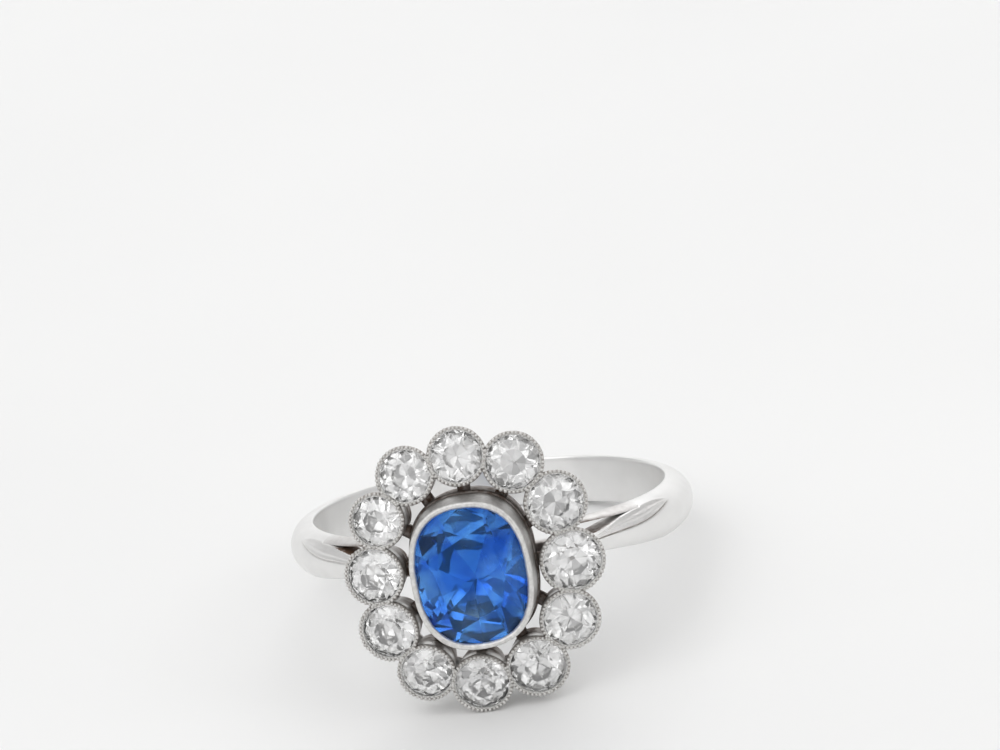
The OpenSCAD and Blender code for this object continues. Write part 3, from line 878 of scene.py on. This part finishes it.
studio = {
    "floor": 1.6, "floorColour": (0.87, 0.87, 0.866), "floorShade": (0.845, 0.845, 0.842),
    "floorRough": 0.6, "floorClouds": 0.02,
    # share of the height and strength, on the camera's side, at the back and at both ends
    "frontSky": [(0, 0.85), (0.5, 0.87), (0.56, 0.82), (0.66, 0.7), (0.78, 0.76), (0.9, 0.93), (1, 0.93)],
    "backSky": [(0, 0.8), (0.5, 0.82), (0.7, 0.86), (1, 0.93)],
    "sideSky": [(0, 0.8), (0.5, 0.72), (0.58, 0.55), (0.68, 0.5), (0.8, 0.66), (1, 0.93)],
    "frontUntil": (-0.5, 0.2), "sidesFrom": (0.5, 0.9),  # where one sky goes over into the next
    "skyStrength": 1.37,
    # darker gaps between the lit panels overhead, for the stones
    "panelScale": 7, "panelEdges": (0.4, 0.6), "panelDim": 0.6, "panelsFrom": (0.56, 0.62),
    "softboxes": [
        {"name": "keyBox", "place": (-0.3, -0.3, 0.55), "size": 0.7, "watts": 1.0},
        {"name": "fillBox", "place": (0.5, -0.15, 0.35), "size": 0.3, "watts": 0.3},
        {"name": "backBox", "place": (0.05, 0.5, 0.4), "size": 0.45, "watts": 0.5},
    ],
    "bounces": 24,
}


def buildFloor():
    bm = bmesh.new()
    bmesh.ops.create_grid(bm, x_segments=8, y_segments=8, size=studio["floor"] / 2)
    mesh = bpy.data.meshes.new("floor")
    bm.to_mesh(mesh)
    bm.free()
    floor = bpy.data.objects.new("floor", mesh)
    bpy.context.collection.objects.link(floor)
    finish, tree, shader = newFinish("paleTable")
    shader.inputs["Roughness"].default_value = studio["floorRough"]
    clouds = spread(tree, objectNoise(tree, studio["floorClouds"], detail=3), 0, 1)
    tree.links.new(blendColours(tree, clouds, studio["floorColour"], studio["floorShade"]),
                   shader.inputs["Base Color"])
    mesh.materials.append(finish)


def hangSoftboxes():
    for box in studio["softboxes"]:
        data = bpy.data.lights.new(box["name"], "AREA")
        data.shape, data.size, data.energy = "DISK", box["size"], box["watts"]
        lamp = bpy.data.objects.new(box["name"], data)
        bpy.context.collection.objects.link(lamp)
        lamp.location = box["place"]
        lamp.rotation_mode = "QUATERNION"
        lamp.rotation_quaternion = (-Vector(box["place"])).to_track_quat("-Z", "Y")
        lamp.visible_camera = False


def skyRamp(tree, height, levels):
    ramp = addNode(tree, "ShaderNodeValToRGB")
    for place, _ in levels[1:-1]:
        ramp.color_ramp.elements.new(place)
    for stop, (place, level) in zip(ramp.color_ramp.elements, levels):
        stop.position, stop.color = place, (level, level, level, 1)
    tree.links.new(height, ramp.inputs["Fac"])
    return ramp.outputs["Color"]


def paintSky():
    world = bpy.data.worlds.new("studioSky")
    world.use_nodes = True
    bpy.context.scene.world = world
    tree = world.node_tree
    coords = addNode(tree, "ShaderNodeTexCoord")
    split = addNode(tree, "ShaderNodeSeparateXYZ")
    tree.links.new(coords.outputs["Generated"], split.inputs[0])
    height = combine(tree, "MULTIPLY_ADD", split.outputs["Z"], 0.5, 0.5)  # from -1 to 1 into 0 to 1
    back, front, sides = (skyRamp(tree, height, studio[key]) for key in ("backSky", "frontSky", "sideSky"))
    inFront = spread(tree, split.outputs["Y"], 1, 0, *studio["frontUntil"])
    atSides = spread(tree, combine(tree, "ABSOLUTE", split.outputs["X"]), 0, 1, *studio["sidesFrom"])
    sky = blendColours(tree, atSides, blendColours(tree, inFront, back, front), sides)
    panels = addNode(tree, "ShaderNodeTexNoise", Scale=studio["panelScale"], Detail=1)
    tree.links.new(coords.outputs["Generated"], panels.inputs["Vector"])
    gaps = spread(tree, panels.outputs["Fac"], 1, 0, *studio["panelEdges"])
    overhead = spread(tree, height, 0, studio["panelDim"], *studio["panelsFrom"])
    background = tree.nodes["Background"]
    tree.links.new(blendColours(tree, combine(tree, "MULTIPLY", gaps, overhead), sky, (0, 0, 0)),
                   background.inputs["Color"])
    background.inputs["Strength"].default_value = studio["skyStrength"]


buildFloor()
hangSoftboxes()
paintSky()
scene = bpy.context.scene
scene.view_settings.view_transform = "Standard"
scene.cycles.max_bounces = studio["bounces"]
scene.cycles.transmission_bounces = studio["bounces"]
print("studio lit")
